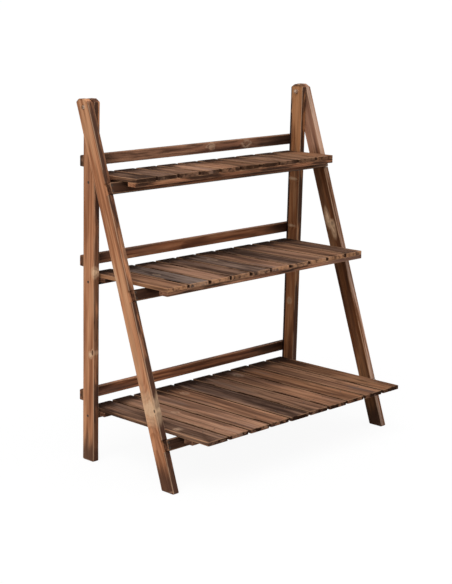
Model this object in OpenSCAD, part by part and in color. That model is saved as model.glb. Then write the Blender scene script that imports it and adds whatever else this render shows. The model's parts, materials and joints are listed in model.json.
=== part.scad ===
// Folding three-tier plant stand in torched softwood.
// +X runs to the right, -Y to the front, +Z up. The origin is on the floor, under the middle of the box.
// The rear frame leans slightly forward. The front frame swings on two bolts at the top.
// Each slatted shelf is a loose panel that rests on a front rail and a rear bearer.

/* [Overall] */
// Width over the outer faces of the front legs
overall_w = 800; // [700:10:900]
// Height of the tops of the legs and uprights
overall_h = 930; // [880:5:1000]
// Depth on the floor, from the rear feet to the toes of the front legs
foot_d = 370; // [340:5:420]

/* [Legs and uprights] */
// Width of a leg or upright board, seen from the side
board_w = 43; // [36:1:50]
// Thickness of a leg or upright board
board_t = 17.5; // [14:0.5:22]
// Forward lean of the rear uprights, in degrees
upright_lean = 2; // [0:0.5:4]
// Length of the clipped corners at the tops
clip_w = 13; // [6:1:17]
// Height of the clipped corners at the tops
clip_h = 8; // [4:1:12]
// Distance of the pivot bolts below the tops
pivot_drop = 20; // [16:1:35]
// Gap between a leg and its upright
leg_gap = 1.2; // [1.1:0.1:3]

/* [Rails] */
// Height of every rail
rail_h = 28; // [20:1:36]
// Thickness of a back rail
back_rail_t = 12; // [8:1:18]
// Length of a back rail past the outer face of an upright
back_rail_over = 1; // [0:1:18]
// Height of a back rail above the shelf below it
back_rail_rise = 17; // [8:1:40]
// Thickness of a front rail
front_rail_t = 15; // [12:1:20]
// Distance a front rail stands proud of the legs
front_rail_proud = 8; // [4:1:10]
// Distance from a front rail's end to the outer face of the leg
front_rail_setback = 7; // [3:0.5:8]
// Thickness of a rear bearer
bearer_t = 15; // [12:1:20]
// Height of a rear bearer
bearer_h = 20; // [16:1:30]
// Distance from the uprights' rear faces to a bearer
bearer_inset = 12; // [0:1:14]
// Chamfer along the edges of rails, battens and slats
edge_chamfer = 1; // [0.5:0.25:2]

/* [Shelves] */
// Distance of the top shelf's surface below the tops of the legs
top_shelf_drop = 186; // [150:2:230]
// Height of the middle shelf's surface
shelf_z_middle = 492; // [440:2:540]
// Height of the bottom shelf's surface
shelf_z_bottom = 140; // [100:2:200]
// Gap between a shelf and the uprights at each side
panel_gap = 6; // [2:1:20]
// Number of slats in each shelf
slat_count = 10; // [8:1:12]
// Thickness of a slat
slat_t = 10; // [8:1:16]
// Gap between neighbouring slats
slat_gap = 7; // [2:0.5:10]
// Most that an uneven slat end stops short
slat_stagger = 2; // [0:0.5:4]
// Distance from the rear face of the uprights to the slats' rear ends
slat_inset = 1; // [0.5:0.5:6]

/* [Battens] */
// Width of a batten, from front to back
batten_w = 30; // [22:1:40]
// Height of a batten
batten_t = 11; // [9:1:18]
// Gap between the rear batten and its bearer
rear_batten_gap = 1; // [0.5:0.5:4]
// Gap from the front rail to the front batten, top shelf
batten_gap_top = 25; // [2:1:40]
// Gap from the front rail to the front batten, middle shelf
batten_gap_middle = 53; // [2:1:70]
// Gap from the front rail to the front batten, bottom shelf
batten_gap_bottom = 24; // [2:1:70]
// Distance the slats run past the front batten, top shelf
lip_top = 2; // [2:1:40]
// Distance the slats run past the front batten, middle shelf
lip_middle = 2; // [2:1:40]
// Distance the slats run past the front batten, bottom shelf
lip_bottom = 56; // [2:1:80]

/* [Hardware] */
// Diameter of a pivot bolt
bolt_d = 6; // [5:0.5:8]
// Diameter of a pivot bolt's head
bolt_head_d = 12; // [10:0.5:15]
// Height of a pivot bolt's head
bolt_head_h = 4; // [2:0.5:5]
// Length of a pivot bolt past its nut
bolt_tail = 2; // [1:0.5:5]
// Nut size across the flats
nut_af = 10; // [9:0.5:13]
// Nut height
nut_h = 5; // [4:0.5:7]
// Diameter of a washer
washer_d = 12; // [12:1:20]
// Thickness of a washer
washer_t = 1; // [0.8:0.1:1]
// Diameter of a wood screw
screw_d = 4; // [3:0.5:4.5]
// Diameter of a wood screw's head
screw_head_d = 7; // [5:0.5:8]
// Height of a wood screw's countersunk head
screw_head_h = 2.5; // [1.5:0.5:3.5]
// Length of a frame screw
screw_l = 35; // [28:1:40]
// Length of a bearer screw
bearer_screw_l = 45; // [35:1:60]
// Distance between the two screws of a rail's joint
screw_pitch = 14; // [10:1:16]
// Diameter of a slat nail
nail_d = 2; // [1.5:0.25:3]
// Diameter of a slat nail's head
nail_head_d = 4.5; // [3.5:0.25:6]
// Thickness of a slat nail's head
nail_head_h = 1; // [0.5:0.25:2]
// Length of a slat nail
nail_l = 18; // [14:1:20]
// Distance between the two nails across a slat
nail_pitch = 34; // [20:1:44]

/* [Hidden] */
$fn = 48;
// Clearances: bolt in its bores, screw or nail in its hole, bolt head in its recess, shelf above a front rail
pin_clear = 0.05;
screw_clear = 0.03;
head_clear = 0.5;
face_clear = 0.1;
seat_clear = 0.3;
// Depth of the bolt head's face below the leg's face
head_sink = 0.3;
// One overrun serves every cut
overrun = 1;
// How far each slat's ends stop short, as shares of slat_stagger
front_stagger_shares = [0, 0.7, 0.2, 1, 0.1, 0.6, 0, 0.8, 0.3, 0.5];
rear_stagger_shares = [0.5, 0, 0.9, 0.3, 0.7, 0.1, 1, 0.2, 0.6, 0];

TIERS = ["top", "middle", "bottom"];
SIDES = ["left", "right"];
shelf_z = [overall_h - top_shelf_drop, shelf_z_middle, shelf_z_bottom];
batten_gap = [batten_gap_top, batten_gap_middle, batten_gap_bottom];
lip = [lip_top, lip_middle, lip_bottom];

// Across the width
leg_x = (overall_w - board_t) / 2;
upright_x = leg_x - board_t - leg_gap;
upright_inner_x = upright_x - board_t / 2;
upright_outer_x = upright_x + board_t / 2;
leg_inner_x = leg_x - board_t / 2;
panel_w = 2 * (upright_inner_x - panel_gap);
slat_w = (panel_w - (slat_count - 1) * slat_gap) / slat_count;
front_rail_l = overall_w - 2 * front_rail_setback;
back_rail_l = 2 * (upright_outer_x + back_rail_over);

// The side view: the rear foot's rear corner is at y = 0 until placed() centres the part
pivot_z = overall_h - pivot_drop;
pivot_y = rear_line(pivot_z) - board_w / cos(upright_lean) / 2;
pivot_reach = foot_d + pivot_y;
leg_splay = atan2(pivot_reach, pivot_z) - asin(board_w / 2 / norm([pivot_reach, pivot_z]));
// Front face of a front rail, in front of the leg's middle line
front_rail_u = board_w / 2 + front_rail_proud;
front_y = min([for (t = [0:2]) slat_front_y(t)]);
back_y = back_rail_t * cos(upright_lean) - back_rail_v(2) * sin(upright_lean);
centre_y = (front_y + back_y) / 2;

// Rear face of the uprights at a height
function rear_line(z) = -z * tan(upright_lean);
// Underside of a tier's slats, which is also the top of its bearer
function seat_z(t) = shelf_z[t] - slat_t;
// Distance up the upright to a back rail's lower edge
function back_rail_v(t) = (shelf_z[t] + back_rail_rise) / cos(upright_lean);
// Distance along the leg, from the pivot, to a front rail's upper edge
function front_rail_v(t) =
    (seat_z(t) - seat_clear - pivot_z - front_rail_u * sin(leg_splay)) / cos(leg_splay);
// Foremost corner of a front rail
function front_rail_y(t) = pivot_y - front_rail_u * cos(leg_splay) + front_rail_v(t) * sin(leg_splay);
function bearer_rear_y(t) = rear_line(seat_z(t)) - bearer_inset;
function rear_batten_y(t) = bearer_rear_y(t) - bearer_t - rear_batten_gap - batten_w / 2;
function front_batten_y(t) = front_rail_y(t) - batten_gap[t] - batten_w / 2;
function slat_rear_y(t) = rear_line(shelf_z[t]) - slat_inset;
function slat_front_y(t) = front_batten_y(t) - batten_w / 2 - lip[t];
function slat_x(i) = (i - (slat_count + 1) / 2) * (slat_w + slat_gap);
function side_sign(side) = side == "left" ? -1 : 1;

// Moves the side view so that the origin is under the middle of the part
module placed() {
    translate([0, -centre_y, 0]) children();
}

// Extrudes a side view, drawn as (y, z), across the width
module across(length) {
    rotate([90, 0, 90]) linear_extrude(height = length, center = true) children();
}

module in_leg_view() {
    translate([pivot_y, pivot_z]) rotate(-leg_splay) children();
}

module in_upright_view() {
    rotate(upright_lean) children();
}

// Section of a bar with chamfered edges, its lower corner at the origin
module bar_section(w, h) {
    c = edge_chamfer;
    polygon([[c, 0], [w - c, 0], [w, c], [w, h - c], [w - c, h], [c, h], [0, h - c], [0, c]]);
}

// Side view of a slanted board that is level at its foot and top, with clipped top corners
module board_view(foot_y, angle) {
    depth = board_w / cos(angle);
    slope = tan(angle);
    clip_z = overall_h - clip_h;
    polygon([
        [foot_y, 0],
        [foot_y + slope * clip_z, clip_z],
        [foot_y + slope * overall_h - clip_w, overall_h],
        [foot_y + slope * overall_h - depth + clip_w, overall_h],
        [foot_y + slope * clip_z - depth, clip_z],
        [foot_y - depth, 0]
    ]);
}

module upright_view() {
    board_view(0, -upright_lean);
}

module leg_view() {
    difference() {
        board_view(board_w / cos(leg_splay) - foot_d, leg_splay);
        for (t = [0:2]) in_leg_view() translate([-front_rail_u, front_rail_v(t) - rail_h])
            square([front_rail_t, rail_h]);
    }
}

module front_rail_view(t) {
    translate([-front_rail_u, front_rail_v(t) - rail_h]) bar_section(front_rail_t, rail_h);
}

// Rod across the width at the pivot, from x0 outwards
module pivot_rod(side, x0, length, d) {
    s = side_sign(side);
    translate([s * x0, pivot_y, pivot_z]) rotate([0, s * 90, 0]) cylinder(h = length, d = d);
}

// Countersunk screw along -Z, its head's face at the origin
module screw(length, clear = 0, extra = 0) {
    translate([0, 0, -length]) cylinder(h = length, d = screw_d + 2 * clear);
    translate([0, 0, -screw_head_h])
        cylinder(h = screw_head_h, d1 = screw_d + 2 * clear, d2 = screw_head_d + 2 * clear);
    if (extra > 0) cylinder(h = extra, d = screw_head_d + 2 * clear);
}

// Places both screws of a rail's joint, across its height
module screw_pair() {
    for (k = [-1, 1]) translate([0, 0, k * screw_pitch / 2]) children();
}

module back_rail_screws_of(t, side, clear = 0, extra = 0) {
    rotate([upright_lean, 0, 0])
        translate([side_sign(side) * upright_x, back_rail_t, back_rail_v(t) + rail_h / 2])
            screw_pair() rotate([-90, 0, 0]) screw(screw_l, clear, extra);
}

module front_rail_screws_of(t, side, clear = 0, extra = 0) {
    covered_x = (front_rail_l / 2 + leg_inner_x) / 2;
    translate([side_sign(side) * covered_x, pivot_y, pivot_z]) rotate([-leg_splay, 0, 0])
        translate([0, -front_rail_u, front_rail_v(t) - rail_h / 2])
            screw_pair() rotate([90, 0, 0]) screw(screw_l, clear, extra);
}

module bearer_screws_of(t, side, clear = 0, extra = 0) {
    s = side_sign(side);
    translate([s * upright_outer_x, bearer_rear_y(t) - bearer_t / 2, seat_z(t) - bearer_h / 2])
        rotate([0, s * 90, 0]) screw(bearer_screw_l, clear, extra);
}

module rear_upright(side) {
    color("#8a5a3c") placed() difference() {
        translate([side_sign(side) * upright_x, 0, 0]) across(board_t) upright_view();
        pivot_rod(side, upright_inner_x - overrun, board_t + 2 * overrun, bolt_d + 2 * pin_clear);
        for (t = [0:2]) {
            back_rail_screws_of(t, side, screw_clear);
            bearer_screws_of(t, side, screw_clear, overrun);
        }
    }
}

module front_leg(side) {
    recess = bolt_head_h + head_sink + face_clear;
    color("#9a6743") placed() difference() {
        translate([side_sign(side) * leg_x, 0, 0]) across(board_t) leg_view();
        pivot_rod(side, leg_inner_x - overrun, board_t + 2 * overrun, bolt_d + 2 * pin_clear);
        pivot_rod(side, overall_w / 2 - recess, recess + overrun, bolt_head_d + 2 * head_clear);
        for (t = [0:2]) front_rail_screws_of(t, side, screw_clear);
    }
}

module back_rail(t) {
    color("#6e4630") placed() difference() {
        across(back_rail_l) in_upright_view() translate([0, back_rail_v(t)]) bar_section(back_rail_t, rail_h);
        for (s = SIDES) back_rail_screws_of(t, s, screw_clear, overrun);
    }
}

module rear_bearer(t) {
    color("#4a2e20") placed() difference() {
        across(2 * upright_inner_x)
            translate([bearer_rear_y(t) - bearer_t, seat_z(t) - bearer_h]) bar_section(bearer_t, bearer_h);
        for (s = SIDES) bearer_screws_of(t, s, screw_clear);
    }
}

module front_rail(t) {
    color("#5c3a28") placed() difference() {
        across(front_rail_l) in_leg_view() front_rail_view(t);
        for (s = SIDES) front_rail_screws_of(t, s, screw_clear, overrun);
    }
}

module batten(t, y) {
    color("#7a5138") placed() difference() {
        across(panel_w) translate([y - batten_w / 2, seat_z(t) - batten_t]) bar_section(batten_w, batten_t);
        for (i = [1:slat_count]) nails_of(t, i, y, screw_clear);
    }
}

module slat(t, i) {
    short_front = front_stagger_shares[(i - 1) % len(front_stagger_shares)] * slat_stagger;
    short_rear = rear_stagger_shares[(i - 1) % len(rear_stagger_shares)] * slat_stagger;
    rear_y = slat_rear_y(t) - short_rear;
    length = rear_y - slat_front_y(t) - short_front;
    color(i % 2 == 0 ? "#7d563f" : "#6a4634") placed() difference() {
        translate([slat_x(i) - slat_w / 2, rear_y, seat_z(t)])
            rotate([90, 0, 0]) linear_extrude(height = length) bar_section(slat_w, slat_t);
        nails_of(t, i, front_batten_y(t), screw_clear, overrun);
        nails_of(t, i, rear_batten_y(t), screw_clear, overrun);
    }
}

// The two nails through a slat into the batten at y
module nails_of(t, i, y, clear = 0, extra = 0) {
    for (k = [-1, 1]) translate([slat_x(i) + k * nail_pitch / 2, y, shelf_z[t]]) {
        translate([0, 0, -nail_l]) cylinder(h = nail_l, d = nail_d + 2 * clear);
        translate([0, 0, -nail_head_h]) cylinder(h = nail_head_h + extra, d = nail_head_d + 2 * clear);
    }
}

module slat_nails(t) {
    color("#3a3432") placed() for (i = [1:slat_count]) {
        nails_of(t, i, front_batten_y(t));
        nails_of(t, i, rear_batten_y(t));
    }
}

module pivot_bolt(side) {
    head_x = overall_w / 2 - head_sink;
    tail_x = upright_inner_x - washer_t - nut_h - bolt_tail;
    color("silver") placed() {
        pivot_rod(side, tail_x, head_x - bolt_head_h - tail_x, bolt_d);
        difference() {
            pivot_rod(side, head_x - bolt_head_h, bolt_head_h, bolt_head_d);
            hex_socket(side, head_x);
        }
    }
}

module hex_socket(side, head_x) {
    s = side_sign(side);
    socket_d = bolt_head_d / 2;
    translate([s * (head_x - bolt_head_h / 2), pivot_y, pivot_z])
        rotate([0, s * 90, 0]) cylinder(h = bolt_head_h, d = socket_d, $fn = 6);
}

// One washer in each gap between leg and upright, and one under each nut
module pivot_washers() {
    color("silver") placed() for (side = SIDES) {
        washer(side, upright_outer_x);
        washer(side, upright_inner_x - washer_t);
    }
}

module washer(side, x0) {
    difference() {
        pivot_rod(side, x0, washer_t, washer_d);
        pivot_rod(side, x0 - overrun, washer_t + 2 * overrun, bolt_d + 2 * pin_clear);
    }
}

module pivot_nuts() {
    nut_x = upright_inner_x - washer_t - nut_h;
    color("silver") placed() for (side = SIDES) difference() {
        translate([side_sign(side) * (nut_x + nut_h / 2), pivot_y, pivot_z])
            rotate([0, 90, 0]) cylinder(h = nut_h, d = nut_af / cos(30), center = true, $fn = 6);
        pivot_rod(side, nut_x - overrun, nut_h + 2 * overrun, bolt_d + 2 * pin_clear);
    }
}

module back_rail_screws() {
    color("#57504c") placed() for (t = [0:2]) for (s = SIDES) back_rail_screws_of(t, s);
}

module bearer_screws() {
    color("#57504c") placed() for (t = [0:2]) for (s = SIDES) bearer_screws_of(t, s);
}

module front_rail_screws() {
    color("#57504c") placed() for (t = [0:2]) for (s = SIDES) front_rail_screws_of(t, s);
}

for (s = SIDES) {
    rear_upright(s);
    front_leg(s);
    pivot_bolt(s);
}
for (t = [0:2]) {
    back_rail(t);
    rear_bearer(t);
    front_rail(t);
    batten(t, front_batten_y(t));
    batten(t, rear_batten_y(t));
    slat_nails(t);
    for (i = [1:slat_count])
        slat(t, i);
}
pivot_washers();
pivot_nuts();
back_rail_screws();
bearer_screws();
front_rail_screws();
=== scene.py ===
import json
import math
import random
from types import SimpleNamespace

import bmesh
import bpy
from mathutils import Matrix, Vector, noise


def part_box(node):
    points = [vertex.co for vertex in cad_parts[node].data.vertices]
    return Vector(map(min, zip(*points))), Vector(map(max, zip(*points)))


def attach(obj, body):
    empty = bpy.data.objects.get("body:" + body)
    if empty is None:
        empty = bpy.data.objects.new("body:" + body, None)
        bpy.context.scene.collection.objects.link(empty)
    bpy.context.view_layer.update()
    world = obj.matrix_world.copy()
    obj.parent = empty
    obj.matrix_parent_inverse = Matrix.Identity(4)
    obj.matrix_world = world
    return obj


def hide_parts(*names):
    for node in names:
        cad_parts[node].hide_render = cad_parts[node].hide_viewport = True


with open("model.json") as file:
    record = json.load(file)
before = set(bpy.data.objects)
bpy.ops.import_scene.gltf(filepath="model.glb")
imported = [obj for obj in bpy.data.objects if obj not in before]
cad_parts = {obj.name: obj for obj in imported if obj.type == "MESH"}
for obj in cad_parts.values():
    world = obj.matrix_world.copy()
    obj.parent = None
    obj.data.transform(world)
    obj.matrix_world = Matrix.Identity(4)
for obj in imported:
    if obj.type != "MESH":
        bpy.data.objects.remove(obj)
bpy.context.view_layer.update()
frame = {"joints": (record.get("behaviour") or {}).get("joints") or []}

tiers = ("top", "middle", "bottom")
sides = {"left": -1, "right": 1}
slatsPerShelf = 10


# Shader nodes. A Value is a node's output, and what is worked out from Values is written as a formula.

class Value:
    def __init__(self, socket):
        self.socket, self.tree = socket, socket.id_data

    def calc(self, operation, *others):
        node = addNode(self.tree, "ShaderNodeMath", operation=operation)
        for value, socket in zip((self, *others), node.inputs):
            plug(value, socket)
        return Value(node.outputs[0])

    def clipped(self):  # kept from 0 to 1
        self.socket.node.use_clamp = True
        return self

    def __add__(self, other):
        return self.calc("ADD", other)

    def __sub__(self, other):
        return self.calc("SUBTRACT", other)

    def __rsub__(self, other):
        return self.calc("MULTIPLY_ADD", -1.0, other)

    def __mul__(self, other):
        return self.calc("MULTIPLY", other)

    def __truediv__(self, other):
        return self.calc("DIVIDE", other)

    def __gt__(self, other):
        return self.calc("GREATER_THAN", other)

    def __lt__(self, other):
        return self.calc("LESS_THAN", other)

    def __abs__(self):
        return self.calc("ABSOLUTE")


def addNode(tree, kind, **settings):
    node = tree.nodes.new(kind)
    for name, value in settings.items():
        setattr(node, name, value)
    return node


def plug(value, socket):  # a Value, a node's output, a number or a colour
    source = value.socket if isinstance(value, Value) else value
    if isinstance(source, bpy.types.NodeSocket):
        socket.id_data.links.new(source, socket)
    else:
        socket.default_value = source


def newTree(owner):
    owner.use_nodes = True
    owner.node_tree.nodes.clear()
    return owner.node_tree


def between(share, under, over):  # under where the share is 0, over where it is 1
    return share * (over - under) + under


def reachOf(first, second):  # distance from 0 of a point with these two coordinates
    return (first * first + second * second).calc("SQRT")


def bumpFrom(height, strength, distance):
    bump = addNode(height.tree, "ShaderNodeBump")
    bump.inputs["Strength"].default_value = strength
    bump.inputs["Distance"].default_value = distance
    plug(height, bump.inputs["Height"])
    return bump.outputs[0]


def straightRays(tree):  # 1 where the camera, a mirror or glass looks straight at the surface
    rays = addNode(tree, "ShaderNodeLightPath").outputs
    shown = Value(rays["Is Camera Ray"]).calc("MAXIMUM", rays["Is Glossy Ray"])
    return shown.calc("MAXIMUM", rays["Is Transmission Ray"])


# Camera, light and floor

cameraLook = {
    "place": (-2.6185, -2.5796, 1.1987),
    "yawDeg": -44.574,  # 0 looks along +Y
    "pitchDeg": 12.002,  # downwards
    "lens": 88.856,
}

studioLook = {
    "worldStrength": 0.62,
    "keyStrength": 1.75, "keyTurnDeg": (38, 0, -62), "keySoftDeg": 42,
    "fillStrength": 0.55, "fillTurnDeg": (58, 0, 35), "fillSoftDeg": 70,
    "floorSize": 400.0, "floorBounce": (0.42, 0.40, 0.38, 1), "floorShadow": 0.07,
    "backdrop": (1, 1, 1, 1),
}


def placeCamera(look):
    data = bpy.data.cameras.new("photoCamera")
    data.lens = look["lens"]
    camera = bpy.data.objects.new("photoCamera", data)
    camera.location = look["place"]
    camera.rotation_euler = (math.radians(90 - look["pitchDeg"]), 0, math.radians(look["yawDeg"]))
    bpy.context.scene.collection.objects.link(camera)
    bpy.context.scene.camera = camera


def placeSun(name, strength, turnDeg, softDeg):
    data = bpy.data.lights.new(name, "SUN")
    data.energy = strength
    data.angle = math.radians(softDeg)
    lamp = bpy.data.objects.new(name, data)
    lamp.rotation_euler = [math.radians(t) for t in turnDeg]
    bpy.context.scene.collection.objects.link(lamp)


def mixShaders(tree, share, under, over):
    mix = addNode(tree, "ShaderNodeMixShader")
    for value, socket in zip((share, under.outputs[0], over.outputs[0]), mix.inputs):
        plug(value, socket)
    return mix


def paintWorld(look):
    world = bpy.data.worlds.new("paleStudio")
    bpy.context.scene.world = world
    tree = newTree(world)
    lit = addNode(tree, "ShaderNodeBackground")
    lit.inputs["Strength"].default_value = look["worldStrength"]
    seen = addNode(tree, "ShaderNodeBackground")
    for background in (lit, seen):
        background.inputs["Color"].default_value = look["backdrop"]
    mix = mixShaders(tree, straightRays(tree), lit, seen)
    plug(mix.outputs[0], addNode(tree, "ShaderNodeOutputWorld").inputs[0])


def layFloor(look):
    half = look["floorSize"] / 2
    corners = [(-half, -half, 0), (half, -half, 0), (half, half, 0), (-half, half, 0)]
    mesh = bpy.data.meshes.new("studioFloor")
    mesh.from_pydata(corners, [], [(0, 1, 2, 3)])
    floor = bpy.data.objects.new("studioFloor", mesh)
    bpy.context.scene.collection.objects.link(floor)
    material = bpy.data.materials.new("paleFloor")
    tree = newTree(material)
    bounce = addNode(tree, "ShaderNodeBsdfDiffuse")
    bounce.inputs["Color"].default_value = look["floorBounce"]
    shadowed = addNode(tree, "ShaderNodeBsdfDiffuse")
    glow = addNode(tree, "ShaderNodeEmission")
    for shader in (shadowed, glow):
        shader.inputs["Color"].default_value = look["backdrop"]
    seen = mixShaders(tree, look["floorShadow"], glow, shadowed)  # white with a faint share of true shadow
    mix = mixShaders(tree, straightRays(tree), bounce, seen)
    plug(mix.outputs[0], addNode(tree, "ShaderNodeOutputMaterial").inputs[0])
    mesh.materials.append(material)


placeCamera(cameraLook)
placeSun("softKey", studioLook["keyStrength"], studioLook["keyTurnDeg"], studioLook["keySoftDeg"])
placeSun("softFill", studioLook["fillStrength"], studioLook["fillTurnDeg"], studioLook["fillSoftDeg"])
paintWorld(studioLook)
layFloor(studioLook)
bpy.context.scene.view_settings.view_transform = "Standard"
print("studio: camera, lamps, world and floor")


# Torched wood. Each board carries its own size, place, tone, pith, sides and knots as point attributes,
# so one material serves all boards of a kind and the grain runs along each of them.

knotAttributes = ("boardKnotA", "boardKnotB", "boardKnotC")

grainNoises = {  # turns per metre along the grain and across it, detail, roughness
    "slow": (1.7, 9.0, 2.0, 0.5),
    "quick": (7.0, 60.0, 2.0, 0.5),
    "broad": (3.2, 34.0, 2.0, 0.5),
    "streak": (3.6, 80.0, 3.0, 0.55),
    "fibre": (16.0, 480.0, 3.0, 0.6),
    "patch": (3.4, 24.0, 3.0, 0.55),
    "scorch": (9.0, 70.0, 4.0, 0.6),
    "bareEnd": (40.0, 42.0, 2.0, 0.5),
    "mottle": (90.0, 170.0, 2.0, 0.5),
    "worn": (11.0, 24.0, 2.0, 0.5),
}

woodSteps = {  # where an effect starts and where it is full, on a noise or another share
    "lateWood": (0.30, 0.88), "lateWoodEnds": (1.0, 0.93),
    "streaks": (0.48, 0.62), "streakPales": (0.47, 0.34),
    "broads": (0.52, 0.64), "broadPales": (0.46, 0.36),
    "greyAndSheenPatches": (0.45, 0.30), "fibres": (0.52, 0.72),
    "fade": (0.50, 0.65),
    "faceChar": (0.53, 0.68), "sideCharAndShade": (0.55, 0.64), "bandCharAndShade": (0.32, 0.5), "endChar": (0.0, 0.75),
    "endBare": (0.47, 0.58), "sidePale": (0.62, 0.42), "endPale": (0.66, 0.42),
    "mottle": (0.38, 0.56), "wear": (0.34, 0.50),
    # in knot radii from the middle of a knot
    "knotCore": (1.05, 0.6), "collarInside": (0.7, 1.1), "collarOutside": (2.1, 1.2),
    # in metres from an edge of the board
    "onSide": (0.0016, 0.0007), "onEnd": (0.0014, 0.0006),
    "rim": (0.0034, 0.0008), "rimAcross": (0.0026, 0.0008),
}

grainLayers = (  # noise, step, share, colour
    ("streak", "streaks", "streaks", "streak"),
    ("streak", "streakPales", "pales", "pale"),
    ("broad", "broads", "broads", "streak"),
    ("broad", "broadPales", "pales", "pale"),
    # grey patches: grey wood, and on the slats also painted sheen of the bright surroundings
    ("patch", "greyAndSheenPatches", "greyAndSheenPatches", "greyAndSheen"),
    ("fibre", "fibres", "fibres", "late"),
)


def readAttribute(tree, name):
    return Value(addNode(tree, "ShaderNodeAttribute", attribute_name=name).outputs["Vector"])


def split(vector):
    node = addNode(vector.tree, "ShaderNodeSeparateXYZ")
    plug(vector, node.inputs[0])
    return [Value(part) for part in node.outputs]


def joinVectors(operation, first, second):
    node = addNode(first.tree, "ShaderNodeVectorMath", operation=operation)
    plug(first, node.inputs[0])
    plug(second, node.inputs[1])
    return Value(node.outputs[0])


def grainNoise(vector, alongPerMetre, acrossPerMetre, detail, roughness):
    node = addNode(vector.tree, "ShaderNodeTexNoise")
    scale = (alongPerMetre, acrossPerMetre, acrossPerMetre)
    plug(joinVectors("MULTIPLY", vector, scale), node.inputs["Vector"])
    node.inputs["Scale"].default_value = 1.0
    node.inputs["Detail"].default_value = detail
    node.inputs["Roughness"].default_value = roughness
    return Value(node.outputs[0])


def ramp(value, start, full):  # smooth step from 0 at start to 1 at full, which may be the smaller
    node = addNode(value.tree, "ShaderNodeMapRange", interpolation_type="SMOOTHSTEP")
    down = isinstance(start, Value) or full < start
    plug(value, node.inputs["Value"])
    plug(full if down else start, node.inputs["From Min"])
    plug(start if down else full, node.inputs["From Max"])
    node.inputs["To Min"].default_value = 1.0 if down else 0.0
    node.inputs["To Max"].default_value = 0.0 if down else 1.0
    return Value(node.outputs[0])


def woodStep(value, name):
    return ramp(value, *woodSteps[name])


def tint(share, under, over):
    node = addNode(share.tree, "ShaderNodeMix", data_type="RGBA")
    plug(share, node.inputs["Factor"])
    plug(under, node.inputs[6])
    plug(over, node.inputs[7])
    return Value(node.outputs[2])


def colour(red, green, blue):  # 0 to 255 as seen on screen, to linear
    return tuple((c / 12.92 if c <= 0.04045 else ((c + 0.055) / 1.055) ** 2.4)
                 for c in (red / 255, green / 255, blue / 255)) + (1.0,)


def readBoard(tree, look):
    board = SimpleNamespace()
    place = readAttribute(tree, "boardPlace")
    board.x, board.y, board.z = split(place)
    halfX, halfY, halfZ = split(readAttribute(tree, "boardHalf"))
    board.edgeX = halfX - abs(board.x)  # distance from the nearer end
    board.edgeY = halfY - abs(board.y)
    board.edgeZ = halfZ - abs(board.z)
    board.onFar, board.onPlus = board.x > 0.0, board.y > 0.0
    board.minusSide, board.plusSide, band = split(readAttribute(tree, "boardSides"))
    board.rearBand = band < 0.0
    board.onBand = abs(board.onPlus - board.rearBand)
    board.band = abs(band)
    board.nearChar, board.farChar, fade = split(readAttribute(tree, "boardEnds"))
    fade = fade * woodStep(board.x / halfX, "fade")
    lighter, redder, burnt = split(readAttribute(tree, "boardTone"))
    board.lighter = lighter + fade
    board.redder = redder - fade * look["fadeDuller"]
    board.burnt = burnt - fade
    board.pitch, board.pithY, board.pithZ = split(readAttribute(tree, "boardPith"))
    shifted = joinVectors("ADD", place, readAttribute(tree, "boardSeed"))
    board.noise = {name: grainNoise(shifted, *scales) for name, scales in grainNoises.items()}
    board.quick = board.noise["quick"] - 0.5
    return board


# Year rings: distance from the pith, bent along the board and pushed round the knots
def yearRings(tree, board, look):
    ring = reachOf(board.y - board.pithY, board.z - board.pithZ)
    ring = ring + (board.noise["slow"] - 0.5) * look["ringBend"] + board.quick * look["ringWobble"]
    board.knots = []
    for name, long in zip(knotAttributes, split(readAttribute(tree, "boardKnotLong"))):
        knotX, knotY, radius = split(readAttribute(tree, name))
        around = reachOf((board.x - knotX) / long, board.y - knotY) / radius
        swell = (around * -look["swellFade"]).calc("EXPONENT")
        ring = ring + radius * look["swell"] * swell
        board.knots.append(around)
    phase = (ring / board.pitch).calc("FRACT")
    return woodStep(phase, "lateWood") * woodStep(phase, "lateWoodEnds")


def woodColour(tree, board, late, look):
    skin = tint(late * look["ringContrast"], look["early"], look["late"])
    for noiseName, stepName, share, over in grainLayers:
        skin = tint(woodStep(board.noise[noiseName], stepName) * look[share], skin, look[over])
    level = addNode(tree, "ShaderNodeHueSaturation")
    plug(board.redder + 1.0, level.inputs["Saturation"])
    plug(board.lighter + 1.0, level.inputs["Value"])
    plug(skin, level.inputs["Color"])
    return Value(level.outputs[0])


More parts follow.
